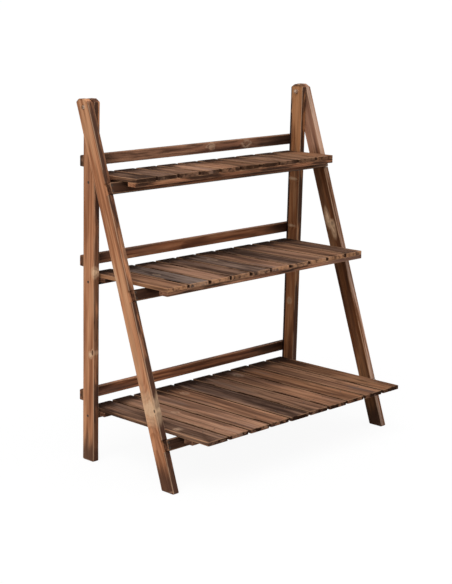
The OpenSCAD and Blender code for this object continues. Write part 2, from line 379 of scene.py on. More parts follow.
# Torching: patches on the faces, the narrow sides, a dark band along one edge, and the ends. On the slats'
# inner sides the dark is char and painted shade of the gaps between them; the band along the right upright's
# rear edge is painted shade.
def torch(board, skin, look):
    scorch, streak = board.noise["scorch"], board.noise["streak"]
    uneven = scorch * 0.5 + board.noise["patch"] * 0.5
    faceChar = woodStep(uneven + board.burnt * look["charPull"], "faceChar") * look["faceChar"]

    side = between(board.onPlus, board.minusSide, board.plusSide)
    onSide = woodStep(board.edgeY, "onSide")
    # dark narrow sides: char, and on the slats' inner sides also painted shade of the gaps between them
    sideCharAndShade = woodStep(uneven + side * look["charPull"], "sideCharAndShade") * look["sideCharAndShade"] * onSide
    sidePale = (onSide * side * -1.0).clipped()
    skin = tint(sidePale * woodStep(streak, "sidePale"), skin, look["sidePale"])

    # dark band along one edge: char, and painted shade where it runs along the rear edge (the right
    # upright's), which is darker still
    bandCharAndShade = board.onBand * ramp(board.edgeY, board.band, board.band * look["bandCore"])
    bandDepth = board.rearBand * look["rearBandShade"] + look["bandCharAndShade"]
    bandCharAndShade = bandCharAndShade * bandDepth * woodStep(scorch, "bandCharAndShade")

    endReach = uneven * uneven * between(board.onFar, look["nearDepth"], look["farDepth"])
    endShare = (1.0 - board.edgeX / endReach).clipped()
    endTorched = between(board.onFar, board.nearChar, board.farChar)
    onEnd = woodStep(board.edgeX, "onEnd")
    endPale = (onEnd * endTorched * -1.0).clipped()
    skin = tint(endPale * woodStep(streak, "endPale"), skin, look["sidePale"])
    endBare = onEnd * woodStep(board.noise["bareEnd"], "endBare")
    endChar = woodStep(endShare, "endChar") * endTorched * (1.0 - endBare * look["endBare"])
    endChar = endChar * (1.0 - sidePale)

    char = faceChar.calc("MAXIMUM", sideCharAndShade).calc("MAXIMUM", bandCharAndShade).calc("MAXIMUM", endChar)
    return tint(char * (1.0 - endPale), skin, look["char"])


# Knots: a core and a pale, broken collar
def paintKnots(tree, board, skin, look):
    broken = woodStep(board.noise["mottle"], "mottle") * look["knotBreaks"] + (1 - look["knotBreaks"])
    ragged = (board.noise["scorch"] - 0.5) * look["knotRagged"] + board.quick * look["knotBent"]
    for around, tone in zip(board.knots, split(readAttribute(tree, "boardKnotTone"))):
        rough = around + ragged
        collar = woodStep(rough, "collarInside") * woodStep(rough, "collarOutside")
        skin = tint(collar * broken * look["collars"], skin, look["knotCollar"])
        heart = tint(tone, look["char"], look["knotCollar"])
        skin = tint(woodStep(rough, "knotCore") * broken * look["hearts"], skin, heart)
    return skin


# Worn arrises along the edges, and a thin worn line just behind each end
def wearArrises(board, skin, look):
    behindEnd = abs(board.edgeX - look["endLine"])
    rim = board.edgeY.calc("MINIMUM", behindEnd * look["endLineThin"])
    arris = woodStep(rim, "rim") * woodStep(board.edgeZ, "rimAcross")
    wear = arris * woodStep(board.noise["worn"], "wear") * (1.0 - board.onBand * board.rearBand)
    return tint(wear * look["wear"], skin, look["worn"])


def torchedWood(name, look):
    material = bpy.data.materials.new(name)
    tree = newTree(material)
    board = readBoard(tree, look)
    late = yearRings(tree, board, look)
    skin = woodColour(tree, board, late, look)
    skin = torch(board, skin, look)
    skin = paintKnots(tree, board, skin, look)
    skin = wearArrises(board, skin, look)
    fibre = board.noise["fibre"]
    relief = late * look["ringRelief"] + fibre * look["fibreRelief"]
    shader = addNode(tree, "ShaderNodeBsdfPrincipled")
    shader.inputs["Specular IOR Level"].default_value = look["gloss"]
    plug(skin, shader.inputs["Base Color"])
    plug(fibre * look["fibreRoughness"] + look["roughness"], shader.inputs["Roughness"])
    plug(bumpFrom(relief, look["bump"], look["relief"]), shader.inputs["Normal"])
    plug(shader.outputs[0], addNode(tree, "ShaderNodeOutputMaterial").inputs[0])
    return material


woodBase = {
    "early": colour(160, 106, 76), "late": colour(96, 56, 37), "streak": colour(80, 48, 34),
    "pale": colour(194, 144, 110), "greyAndSheen": colour(124, 100, 90), "char": colour(36, 22, 15),
    "worn": colour(188, 144, 112), "knotCollar": colour(214, 180, 150), "sidePale": colour(172, 136, 116),
    # how much of each effect shows
    "ringContrast": 0.75, "streaks": 0.7, "broads": 0.5, "pales": 0.5, "greyAndSheenPatches": 0.35, "fibres": 0.4,
    # the side and band char also carry painted shade: the slats' inner sides, and the right upright's rear
    # band, whose extra dark is painted shade only
    "faceChar": 0.75, "sideCharAndShade": 0.9, "bandCharAndShade": 0.6, "rearBandShade": 1.0, "endBare": 0.6, "wear": 0.4,
    "collars": 0.6, "hearts": 0.8, "knotBreaks": 0.6,
    "charPull": 0.25,  # pull of a board's or a side's own char on its burnt patches
    "fadeDuller": 0.6,  # saturation lost where the wood gets lighter near the top
    "bandCore": 0.5,  # share of the dark band that is fully dark
    # in metres: bend and wobble of the rings, and reach of the char at the ends before it is made uneven
    "ringBend": 0.020, "ringWobble": 0.0022, "nearDepth": 0.048, "farDepth": 0.048,
    "endLine": 0.0014, "endLineThin": 2.0,  # worn line behind an end: its distance in metres, how thin it is
    "swell": 2.1, "swellFade": 0.8,  # of the rings round a knot, in knot radii, and how soon it fades
    "knotBent": 2.4, "knotRagged": 1.8,  # how far a knot's outline follows the grain's two finer noises
    "relief": 0.0006, "ringRelief": 0.5, "fibreRelief": 0.6, "bump": 0.7,
    "gloss": 0.08, "roughness": 0.6, "fibreRoughness": 0.12,
}

woodKinds = {
    "legWood": {
        "early": colour(196, 138, 102), "late": colour(144, 90, 58), "streak": colour(120, 74, 50),
        "pale": colour(212, 162, 124), "greyAndSheen": colour(150, 120, 104), "char": colour(50, 32, 27),
        "worn": colour(212, 174, 142), "knotCollar": colour(224, 188, 152), "sidePale": colour(192, 158, 138),
        "ringContrast": 0.6, "streaks": 0.6, "broads": 0.35, "greyAndSheenPatches": 0.25, "faceChar": 0.5, "wear": 0.42,
        "collars": 0.4, "knotBreaks": 0.2, "nearDepth": 0.40,
    },
    "railWood": {
        "early": colour(142, 94, 68), "late": colour(80, 48, 34), "streak": colour(58, 38, 30),
        "pale": colour(180, 130, 98), "greyAndSheen": colour(100, 80, 72),
        "faceChar": 0.85, "collars": 0.42, "knotBreaks": 0.8, "nearDepth": 0.56, "farDepth": 0.64,
    },
    "slatWood": {
        "early": colour(150, 108, 82), "late": colour(90, 60, 44), "streak": colour(66, 46, 37),
        # the slats' grey colour and its patches are partly painted sheen
        "pale": colour(172, 130, 100), "greyAndSheen": colour(110, 94, 88), "char": colour(40, 24, 16),
        "sidePale": colour(196, 144, 104),
        "ringContrast": 0.55, "streaks": 0.6, "broads": 0.45, "pales": 0.45, "greyAndSheenPatches": 0.45, "fibres": 0.65,
        "wear": 0.5, "collars": 0.3, "hearts": 0.5, "ringBend": 0.028, "nearDepth": 0.016, "farDepth": 0.32,
        "gloss": 0.02, "roughness": 0.78,
    },
    "battenWood": {
        "early": colour(168, 118, 90), "late": colour(106, 68, 48), "faceChar": 0.5,
    },
}
woods = {name: torchedWood(name, {**woodBase, **look}) for name, look in woodKinds.items()}
print("wood:", ", ".join(woods))


# Steel: clouded zinc and dark steel, with fine scratches

steelNoises = {"cloud": (900.0, 900.0, 3.0, 0.6), "scratch": (300.0, 6000.0, 2.0, 0.5)}  # as in grainNoises
steelBase = {"dulls": (0.4, 0.65), "cloudRoughness": 0.25, "bump": 0.25, "relief": 0.0002}
steelKinds = {
    "zincSteel": {"bright": colour(196, 170, 150), "dull": colour(140, 118, 100), "roughness": 0.45},
    "darkSteel": {"bright": colour(98, 84, 74), "dull": colour(60, 48, 41), "roughness": 0.5},
}


def plainSteel(name, look):
    material = bpy.data.materials.new(name)
    tree = newTree(material)
    place = Value(addNode(tree, "ShaderNodeTexCoord").outputs["Object"])
    cloud = grainNoise(place, *steelNoises["cloud"])
    scratch = grainNoise(place, *steelNoises["scratch"])
    shader = addNode(tree, "ShaderNodeBsdfPrincipled")
    shader.inputs["Metallic"].default_value = 1.0
    plug(tint(ramp(cloud, *look["dulls"]), look["bright"], look["dull"]), shader.inputs["Base Color"])
    plug(cloud * look["cloudRoughness"] + look["roughness"], shader.inputs["Roughness"])
    plug(bumpFrom(scratch, look["bump"], look["relief"]), shader.inputs["Normal"])
    plug(shader.outputs[0], addNode(tree, "ShaderNodeOutputMaterial").inputs[0])
    return material


steels = {name: plainSteel(name, {**steelBase, **look}) for name, look in steelKinds.items()}
print("steel:", ", ".join(steels))


# Boards. The outline lies in the board's own plane, x along the grain, and is drawn in metres.

planeLook = {  # hand-planed faces stand back a little from their true planes, but not at the ends
    "turns": 9,  # of the waver, per metre along the board
    "plainArrises": 6,  # an end stays plain for so many times its arris
    "growth": 0.02,  # and then the waver grows over so many metres
    "shiftSpan": 50, "shiftsY": (7, 3), "shiftsZ": (17, 11),  # places in the noise: minus face, plus face
}
pithLook = {"pitch": (0.0042, 0.0068), "across": (-0.03, 0.03), "below": (0.02, 0.07), "seedSpan": 40}
noKnot = (5, 0, 0.01, 0, 1)  # for unused places, far off the board
noBand = 0.000001  # width of a dark band that isn't there, which may not be 0
cornerSteps = 3
cutterRise = 0.002  # how far outside the wood a cutter starts, or ends where it goes right through


def meshPiece(name, bm):
    mesh = bpy.data.meshes.new(name)
    bm.to_mesh(mesh)
    bm.free()
    piece = bpy.data.objects.new(name, mesh)
    bpy.context.scene.collection.objects.link(piece)
    return piece


def register(piece, node, body):
    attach(piece, body)
    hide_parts(node)


def pointing(top, outward):  # turns local Z outward at the top
    turn = Vector((0, 0, 1)).rotation_difference(Vector(outward)).to_matrix().to_4x4()
    return Matrix.Translation(top) @ turn


def axes(along, across, centre):
    along, across = Vector(along), Vector(across)
    up = along.cross(across)
    place = Matrix((along, across, up)).transposed().to_4x4()
    place.translation = centre
    return place


def middleOf(node):
    low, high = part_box(node)
    return (low + high) / 2


def roundCorner(before, corner, after, radius):
    toBefore = (before - corner).normalized()
    toAfter = (after - corner).normalized()
    half = toBefore.angle(toAfter) / 2
    reach = radius / math.tan(half)
    middle = corner + (toBefore + toAfter).normalized() * (radius / math.sin(half))
    start = corner + toBefore * reach - middle
    turn = start.angle_signed(corner + toAfter * reach - middle)
    return [middle + Matrix.Rotation(-turn * k / cornerSteps, 2) @ start for k in range(cornerSteps + 1)]


def roundOutline(points, radii):  # a corner with no radius stays sharp
    corners = [Vector(p) for p in points]
    rounded = []
    for k, (corner, radius) in enumerate(zip(corners, radii)):
        if radius:
            after = corners[(k + 1) % len(corners)]
            rounded += roundCorner(corners[k - 1], corner, after, radius)
        else:
            rounded.append(corner)
    return rounded


def handPlane(bm, low, high, halfWidth, thick, look, rng):
    shift = Vector([rng.uniform(0, planeLook["shiftSpan"]) for _ in range(3)])
    for v in bm.verts:
        along = Vector((v.co.x * planeLook["turns"], 0, 0)) + shift
        fromEnd = min(v.co.x - low, high - v.co.x) - look["arris"] * planeLook["plainArrises"]
        depth = look["waver"] * min(1, max(0, fromEnd) / planeLook["growth"])
        shiftY = planeLook["shiftsY"][v.co.y > 0]
        shiftZ = planeLook["shiftsZ"][v.co.z > 0]
        backY = depth * (0.5 + 0.5 * noise.noise(along + Vector((0, shiftY, 0))))
        backZ = depth * (0.5 + 0.5 * noise.noise(along + Vector((0, 0, shiftZ))))
        v.co.y -= backY * v.co.y / halfWidth
        v.co.z -= backZ * v.co.z / (thick / 2)


def sawBoard(node, outline, thick, look, rng):  # look gives the arris, the waver and the steps of the mesh
    low, high = min(p.x for p in outline), max(p.x for p in outline)
    bm = bmesh.new()
    face = bm.faces.new([bm.verts.new((p.x, p.y, -thick / 2)) for p in outline])
    raised = bmesh.ops.extrude_face_region(bm, geom=[face])["geom"]
    bmesh.ops.translate(bm, vec=(0, 0, thick), verts=[g for g in raised if isinstance(g, bmesh.types.BMVert)])
    bmesh.ops.recalc_face_normals(bm, faces=bm.faces[:])
    rims = [e for e in bm.edges if abs(e.verts[0].co.z - e.verts[1].co.z) < thick / 2]
    bmesh.ops.bevel(bm, geom=rims, offset=look["arris"], segments=3, profile=0.5, affect="EDGES",
                    clamp_overlap=True)
    x = low + look["ringStep"] / 2
    while x < high:
        everything = bm.verts[:] + bm.edges[:] + bm.faces[:]
        bmesh.ops.bisect_plane(bm, geom=everything, plane_co=(x, 0, 0), plane_no=(1, 0, 0), dist=1e-6)
        x += look["ringStep"]
    handPlane(bm, low, high, max(abs(p.y) for p in outline), thick, look, rng)
    return meshPiece(node + "_board", bm)


def makeCutter(top, inward, wide, narrow, depth):
    middle = Vector(top) + Vector(inward) * ((depth - cutterRise) / 2)
    bm = bmesh.new()
    bmesh.ops.create_cone(bm, cap_ends=True, segments=24, radius1=wide, radius2=narrow,
                          depth=depth + cutterRise, matrix=pointing(middle, inward))
    return meshPiece("cutter", bm)


def drill(piece, holes):  # holes: (top, inward, wide radius, narrow radius, depth), in the board's own axes
    for hole in holes:
        cutter = makeCutter(*hole)
        cut = piece.modifiers.new("cut", "BOOLEAN")
        cut.object = cutter
        cut.solver = "EXACT"
        bpy.context.view_layer.update()
        shaped = piece.evaluated_get(bpy.context.evaluated_depsgraph_get())
        mesh = bpy.data.meshes.new_from_object(shaped)
        piece.modifiers.clear()
        piece.data = mesh
        bpy.data.objects.remove(cutter)


def setAttribute(mesh, name, values):
    layer = mesh.attributes.new(name, "FLOAT_VECTOR", "POINT")
    layer.data.foreach_set("vector", [c for value in values for c in value])


def dressBoard(piece, half, wood, rng, tone, boardSides, boardEnds, knots=(), fade=0.0):
    mesh = piece.data
    setAttribute(mesh, "boardPlace", [v.co[:] for v in mesh.vertices])
    knots = [*knots, noKnot, noKnot, noKnot][:3]
    constants = {
        "boardHalf": half,
        "boardSeed": [rng.uniform(0, pithLook["seedSpan"]) for _ in range(3)],
        "boardTone": tone,
        "boardPith": (rng.uniform(*pithLook["pitch"]), rng.uniform(*pithLook["across"]),
                      -rng.uniform(*pithLook["below"])),
        "boardSides": boardSides,
        "boardEnds": (*boardEnds, fade),
        "boardKnotTone": [knot[3] for knot in knots],
        "boardKnotLong": [knot[4] for knot in knots],
    }
    constants.update(zip(knotAttributes, [knot[:3] for knot in knots]))
    for name, value in constants.items():
        setAttribute(mesh, name, [value] * len(mesh.vertices))
    mesh.materials.clear()
    mesh.materials.append(woods[wood])
    mesh.shade_smooth()
    piece.modifiers.new("faceNormals", "WEIGHTED_NORMAL").keep_sharp = True


def seat(piece, place, node, body):
    piece.data.transform(place)
    register(piece, node, body)


def makePlank(node, body, look, size, place, tone, boardSides, boardEnds, knots=(), holes=()):
    rng = random.Random(node)
    x, y, z = (length / 2 for length in size)
    near, far = look["nearRadius"], look["farRadius"]
    outline = roundOutline([(-x, -y), (x, -y), (x, y), (-x, y)], (near, far, far, near))
    board = sawBoard(node, outline, 2 * z, look, rng)
    drill(board, holes)
    dressBoard(board, (x, y, z), look["wood"], rng, tone, boardSides, boardEnds, knots)
    seat(board, place, node, body)


# Rear uprights and front legs

legLook = {
    "width": 0.043, "leanDeg": 2.0, "clipWidth": 0.013, "clipHeight": 0.008, "cornerRadius": 0.0035,
    "arris": 0.0016, "waver": 0.0004, "ringStep": 0.03,
    "seed": 11, "ends": (0.8, 0.8),  # char at the foot and at the top
}
railLook = {
    "height": 0.028, "backThick": 0.012, "frontThick": 0.015, "frontProud": 0.008,
    "arris": 0.0014, "nearRadius": 0.003, "farRadius": 0.003, "waver": 0.0003, "ringStep": 0.04,
    "wood": "railWood", "slot": "rail_wood", "ends": (0.85, 0.85),
}
pivot = Vector(frame["joints"][0]["pos_m"])
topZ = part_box("rear_upright_left")[1].z
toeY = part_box("front_leg_left")[0].y
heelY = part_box("rear_upright_left")[1].y
lean = math.radians(legLook["leanDeg"])
reach = pivot.y - toeY
splay = math.atan2(reach, pivot.z) - math.asin(legLook["width"] / 2 / math.hypot(reach, pivot.z))

# tones: lighter, redder, burnt
# sides: char on the rear edge, on the front edge (below 0: pale), width of the dark band of char along the
# front (below 0: along the rear, where it is painted shade and isn't worn)
# knots: height up the board, place across it, radius, pale heart, length over height
# fades: how much lighter the wood gets near the top
legKinds = {
    "upright": {
        "node": "rear_upright_", "body": "rear_frame", "slot": "upright_wood", "footY": heelY, "angle": -lean,
        "tones": {"left": (-0.04, 0.02, -0.1), "right": (-0.29, 0.10, 0.1)},
        # the right upright's dark rear band is painted shade along its rear arris
        "sides": {"left": (0.3, 0.3, 0.002), "right": (0.2, 0.6, -0.009)},
        "knots": {
            "left": [(0.50, 0.0195, 0.0065, 1.0, 1.4), (0.285, 0.007, 0.0045, 1.0, 1.2),
                     (0.292, 0.0165, 0.003, 0.0, 1.6)],
            "right": [(0.53, -0.002, 0.009, 1.0, 0.28), (0.665, 0.0, 0.011, 0.9, 0.25),
                      (0.31, 0.0, 0.005, 0.6, 1.2)],
        },
        "fades": {},
    },
    "leg": {
        "node": "front_leg_", "body": "front_frame", "slot": "leg_wood",
        "footY": toeY + legLook["width"] / math.cos(splay), "angle": splay,
        "tones": {"left": (0.0, 0.02, -0.2), "right": (-0.55, 0.12, 0.5)},
        "sides": {"left": (0.0, 0.48, 0.006), "right": (0.0, -0.9, noBand)},
        "knots": {
            "left": [(0.206, 0.0, 0.025, 1.0, 1.0), (0.2, 0.017, 0.0038, 0.0, 1.3),
                     (0.53, -0.018, 0.004, 1.0, 9.0)],
            "right": [(0.575, 0.006, 0.007, 0.1, 1.3), (0.596, -0.006, 0.006, 1.0, 3.0),
                      (0.556, 0.006, 0.006, 1.0, 3.0)],
        },
        "fades": {"right": 0.4},
    },
}


def sideOutline(footY, angle):
    depth = legLook["width"] / math.cos(angle)
    slope = math.tan(angle)
    clipZ = topZ - legLook["clipHeight"]
    return [
        (footY, 0),
        (footY + slope * clipZ, clipZ),
        (footY + slope * topZ - legLook["clipWidth"], topZ),
        (footY + slope * topZ - depth + legLook["clipWidth"], topZ),
        (footY + slope * clipZ - depth, clipZ),
        (footY - depth, 0),
    ]


def legAxes(angle, footY, x):  # along the board upwards, across it to the front, from the middle of its foot
    along = (0, math.sin(angle), math.cos(angle))
    across = (0, -math.cos(angle), math.sin(angle))
    return axes(along, across, (x, footY - legLook["width"] / 2 / math.cos(angle), 0))


def legNotches(flat):  # the front rails' notches in the leg's front edge, from the top down
    front = legLook["width"] / 2
    inner = front + railLook["frontProud"] - railLook["frontThick"]
    notches = []
    for tier in tiers:
        middle = (flat @ middleOf("front_rail_" + tier)).x
        low, high = middle - railLook["height"] / 2, middle + railLook["height"] / 2
        notches += [(high, front), (high, inner), (low, inner), (low, front)]
    return notches


def legOutline(kind, place):
    flat = place.inverted()
    look, x = legKinds[kind], place.translation.x
    points = [(flat @ Vector((x, y, z))).to_2d() for y, z in sideOutline(look["footY"], look["angle"])]
    notches = legNotches(flat) if kind == "leg" else []
    toFoot = len(points) - 1  # the notches come before the last point, the foot's front corner
    radii = [legLook["cornerRadius"]] * len(points)
    return roundOutline(points[:toFoot] + notches + points[toFoot:],
                        radii[:toFoot] + [0] * len(notches) + radii[toFoot:])


def makeLeg(kind, side, rng):
    look = legKinds[kind]
    node = look["node"] + side
    low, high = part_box(node)
    thick = high.x - low.x
    place = legAxes(look["angle"], look["footY"], (high.x + low.x) / 2)
    outline = legOutline(kind, place)
    board = sawBoard(node, outline, thick, legLook, rng)
    drill(board, legHoles(kind, side, place, thick))
    length = max(p.x for p in outline) - min(p.x for p in outline)
    toMiddle = Matrix.Translation((-length / 2, 0, 0))  # the board is dressed about its own middle
    board.data.transform(toMiddle)
    knots = [(height - length / 2, *rest) for height, *rest in look["knots"][side]]
    dressBoard(board, (length / 2, legLook["width"] / 2, thick / 2), "legWood", rng, look["tones"][side],
               look["sides"][side], legLook["ends"], knots, look["fades"].get(side, 0.0))
    seat(board, place @ toMiddle.inverted(), node, look["body"])


# Hardware sizes, shared by the holes and the fasteners

boltLook = {
    "radius": 0.003, "headRadius": 0.006, "headHeight": 0.004, "headSink": 0.0003, "tail": 0.002,
    "boreRoom": 0.00005, "headRoom": 0.0005, "seatRoom": 0.0001,  # round the shank, round and under the head
    "flangeShare": 0.97, "crownShare": 0.60,  # of the head's radius
    "domeShares": (0.15, 0.45, 0.7, 0.88, 0.97), "domeRound": 0.75,  # heights on the dome, its roundness
    "socketRadius": 0.0032, "socketDepth": 0.0022, "socketRim": 0.0001,
    "socketMouthShare": 0.87, "socketFloorShare": 0.84,
    "threadPitch": 0.001, "threadDepth": 0.0003, "valleyShare": 0.3, "crestShare": 0.8,
    "threadBeyondNut": 0.003, "threadRunOut": 0.001,
    "nutHeight": 0.005, "nutHalf": 0.005, "nutRoom": 0.0001, "nutMouthShare": 1.12,
    "chamferShare": 0.98, "chamferDeg": 30,
    "washerRadius": 0.006, "washerThick": 0.001, "washerBore": 0.0032, "washerEdge": 0.0002,
}
screwLook = {
    "length": 0.035, "bearerLength": 0.045, "radius": 0.002, "apart": 0.014,  # apart: two in a rail's end
    "headRadius": 0.0035, "headHeight": 0.0025, "headEdge": 0.0003, "sink": 0.0003, "craterRoom": 0.0004,
    "crossHalf": 0.0005, "crossReach": 0.0019, "crossDepth": 0.0012, "crossRimShare": 1.15,
    "crossFloorShare": 0.6,
    "tipShare": 0.15, "coreShare": 0.7, "neckShare": 0.85,  # of the radius
    "tipLength": 0.004, "plainTip": 0.005, "neckLengthShare": 0.35,
    "threadPitch": 0.0022, "crestShare": 0.4, "valleyShare": 0.8,
}


def bearerScrewTops(side):
    low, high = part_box("rear_upright_" + side)
    faceX = high.x if sides[side] > 0 else low.x
    middles = [middleOf("rear_bearer_" + tier) for tier in tiers]
    return [Vector((faceX, middle.y, middle.z)) for middle in middles]


def crater(top, inward):
    look = screwLook
    slope = (look["headRadius"] - look["radius"]) / look["headHeight"]
    wide = look["headRadius"] + look["craterRoom"] + cutterRise * slope
    return (top, inward, wide, look["radius"], look["headHeight"] + look["sink"])


def legHoles(kind, side, place, thick):  # all of them start in the board's outer face
    look, sign = boltLook, sides[side]
    flat, inward = place.inverted(), (0, 0, -sign)
    if kind == "upright":
        return [crater(flat @ top, inward) for top in bearerScrewTops(side)]
    face = flat @ Vector((place.translation.x, pivot.y, pivot.z)) + Vector((0, 0, sign * thick / 2))
    bore = look["radius"] + look["boreRoom"]
    recess = look["headRadius"] + look["headRoom"]
    depth = look["headHeight"] + look["headSink"] + look["seatRoom"]
    return [(face, inward, bore, bore, thick + cutterRise), (face, inward, recess, recess, depth)]


for side, sign in sides.items():
    rng = random.Random(legLook["seed"] + sign)  # one run of draws for both boards of a side
    makeLeg("upright", side, rng)
    makeLeg("leg", side, rng)
print("legs: two uprights, two front legs")


# Rails and bearers

railKinds = {
    "back_rail_": {
        "body": "rear_frame", "up": (0, -math.sin(lean), math.cos(lean)), "thick": railLook["backThick"],
        "sides": (0.6, -0.2, noBand),
        "tones": [(-0.06, -0.05, 0.1), (0.4, 0.05, -0.2), (0.5, 0.05, -0.3)],
    },
    "front_rail_": {
        "body": "front_frame", "up": (0, math.sin(splay), math.cos(splay)), "thick": railLook["frontThick"],
        "sides": (0.6, 0.4, 0.001),
        "tones": [(0.2, 0.0, -0.1), (-0.1, 0.0, 0.2), (-0.25, 0.0, 0.3)],
    },
    "rear_bearer_": {
        "body": "rear_frame", "up": (0, 0, 1),
        "sides": (0.6, 0.4, 0.001),
        "tones": [(-0.3, 0.0, 0.4)] * 3,
    },
}
# knots of rails and slats: place along and across from the middle, and the rest as on the legs
railKnots = {"back_rail_top": [(0.192, 0.0, 0.007, 0.25, 1.5), (0.057, 0.004, 0.0055, 0.7, 2.0)]}


def railScrews(prefix):  # (top, inward) in the rail's own axes
    if prefix == "rear_bearer_":
        return []
    if prefix == "back_rail_":
        x, outward = abs(middleOf("rear_upright_left").x), -1
    else:
        x, outward = (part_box("front_rail_top")[1].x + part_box("front_leg_right")[0].x) / 2, 1
    half, face = screwLook["apart"] / 2, outward * railKinds[prefix]["thick"] / 2
    return [((sx * x, sy * half, face), (0, 0, -outward)) for sx in (-1, 1) for sy in (-1, 1)]


def makeRail(prefix, tier, tone):
    kind, node = railKinds[prefix], prefix + tier
    low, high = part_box(node)
    if prefix == "rear_bearer_":
        size = (high.x - low.x, high.z - low.z, high.y - low.y)
    else:
        size = (high.x - low.x, railLook["height"], kind["thick"])
    place = axes((1, 0, 0), kind["up"], middleOf(node))
    holes = [crater(Vector(top), inward) for top, inward in railScrews(prefix)]
    makePlank(node, kind["body"], railLook, size, place, tone, kind["sides"], railLook["ends"],
              railKnots.get(node, ()), holes)


for prefix, kind in railKinds.items():
    for tier, tone in zip(tiers, kind["tones"]):
        makeRail(prefix, tier, tone)
print("rails: back, front and bearers")


# Shelves

slatLook = {
    "arris": 0.0011, "nearRadius": 0.0036, "farRadius": 0.0045, "waver": 0.0003, "ringStep": 0.035,
    "wood": "slatWood", "slot": "slat_wood",
    # the outer left side stays bare, the inner sides are dark from char and painted shade of the gaps between
    # slats, and every other slat has a dark band
    "outerSides": (1.0, -0.6, noBand), "evenSides": (1.0, 1.0, 0.0028), "oddSides": (1.0, 1.0, noBand),
    "rearChar": 0.95, "frontChars": {"top": 0.8, "middle": -0.5, "bottom": 1.0},  # below 0: pale ends
}
battenLook = {
    "arris": 0.0012, "nearRadius": 0.0018, "farRadius": 0.0018, "waver": 0.0003, "ringStep": 0.04,
    "wood": "battenWood", "slot": "batten_wood", "sides": (0.3, 0.3, 0.001), "ends": (0.2, 0.2),
    "tone": (-0.45, 0.0, 0.2),
    "tones": {"front_batten_top": (0.2, 0.05, -0.6), "front_batten_middle": (-0.12, 0.0, 0.0)},
}
slatTones = {  # lighter, redder, burnt
    "top": [
        (-0.35, -0.1, 0.3), (-0.25, -0.12, 0.1), (0.0, -0.05, -0.2), (0.2, -0.05, -0.4), (0.2, 0.0, -0.4),
        (-0.3, 0.05, 0.2), (-0.3, 0.0, 0.2), (-0.25, -0.05, 0.1), (-0.3, 0.0, 0.2), (-0.1, 0.05, 0.0),
    ],
    "middle": [
        # slat 2's greyed tone is painted sheen
        (-0.05, 0.0, 0.0), (-0.38, -0.4, 0.3), (0.1, -0.08, -0.2), (-0.28, -0.12, 0.2), (-0.3, -0.25, 0.4),
        (0.0, -0.05, 0.0), (-0.3, -0.15, 0.3), (-0.05, -0.05, 0.0), (-0.05, 0.0, 0.0), (-0.3, -0.05, 0.3),
    ],
    "bottom": [
        (-0.25, -0.1, 0.3), (0.18, -0.06, -0.1), (0.24, -0.05, -0.2), (0.28, 0.0, -0.3), (-0.2, -0.15, 0.35),
        (-0.15, -0.05, 0.1), (0.1, 0.0, 0.0), (-0.02, 0.05, 0.1), (0.04, 0.0, 0.1), (-0.14, 0.05, 0.25),
    ],
}
slatKnots = {
    "slat_bottom_1": [(-0.09, 0.012, 0.007, 0.9, 1.3)],
    "slat_bottom_2": [(0.02, -0.01, 0.005, 0.5, 1.5)],
    "slat_bottom_4": [(0.13, 0.0, 0.006, 0.6, 1.3)],
    "slat_bottom_7": [(0.16, -0.012, 0.008, 0.4, 1.6)],
    "slat_middle_2": [(0.0, 0.01, 0.005, 0.4, 1.5)],
    "slat_middle_5": [(0.05, -0.01, 0.006, 0.4, 1.5)],
}


def makeSlat(tier, index):
    look, node = slatLook, f"slat_{tier}_{index}"
    low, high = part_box(node)
    size = (high.y - low.y, high.x - low.x, high.z - low.z)
    place = axes((0, 1, 0), (-1, 0, 0), (low + high) / 2)
    boardSides = look["oddSides"] if index % 2 else look["evenSides"]
    if index == 1:
        boardSides = look["outerSides"]
    ends = (look["frontChars"][tier], look["rearChar"])
    makePlank(node, tier + "_shelf", look, size, place, slatTones[tier][index - 1], boardSides, ends,
              slatKnots.get(node, ()))


def makeBatten(prefix, tier):
    look, node = battenLook, prefix + tier
    low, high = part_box(node)
    place = axes((1, 0, 0), (0, 1, 0), (low + high) / 2)
    tone = look["tones"].get(node, look["tone"])
    makePlank(node, tier + "_shelf", look, high - low, place, tone, look["sides"], look["ends"])


for tier in tiers:
    for index in range(1, slatsPerShelf + 1):
        makeSlat(tier, index)
    for prefix in ("front_batten_", "rear_batten_"):
        makeBatten(prefix, tier)
print("shelves:", slatsPerShelf * len(tiers), "slats and their battens")


# Fasteners: stacks of rings about the local Z axis, which points out of the wood

nailLook = {
    "length": 0.018, "apart": 0.034, "shank": 0.001, "headRadius": 0.00225, "proud": 0.0003,
    "sink": 0.0002,  # how far below the slat's face the dome of the head starts
    "tipShare": 0.1, "tipLength": 0.003, "neck": 0.001, "headUnder": 0.0006,
    "domeShares": ((1.0, 0.2), (0.75, 0.8), (0.3, 1.0)),  # of the head's radius and of its height
}
sharpFromDeg = 35  # edges of the steel look sharp from this angle on
facets = {"bolt": 36, "nut": 48, "washer": 32, "screw": 24, "nail": 16}


def ring(count, radiusAt, heightAt):
    points = []
    for k in range(count):
        angle = 2 * math.pi * k / count
        radius = radiusAt(angle) if callable(radiusAt) else radiusAt
        height = heightAt(angle) if callable(heightAt) else heightAt
        points.append(Vector((radius * math.cos(angle), radius * math.sin(angle), height)))
    return points


def stack(bm, rings, place, closed=False):
    rows = [[bm.verts.new(place @ p) for p in points] for points in rings]
    pairs = list(zip(rows, rows[1:])) + ([(rows[-1], rows[0])] if closed else [])
    for low, high in pairs:
        for k in range(len(low)):
            j = (k + 1) % len(low)
            bm.faces.new((low[k], low[j], high[j], high[k]))
    if not closed:
        bm.faces.new(reversed(rows[0]))
        bm.faces.new(rows[-1])


def turned(kind, profile):  # profile: radius and height, each a length or what gives it at an angle
    return [ring(facets[kind], radius, height) for radius, height in profile]


def threadProfile(start, end, pitch, turn):  # turn: radius, share of the pitch
    profile, z = [], start
    while z < end:
        profile += [(radius, z + pitch * share) for radius, share in turn]
        z += pitch
    return profile, z


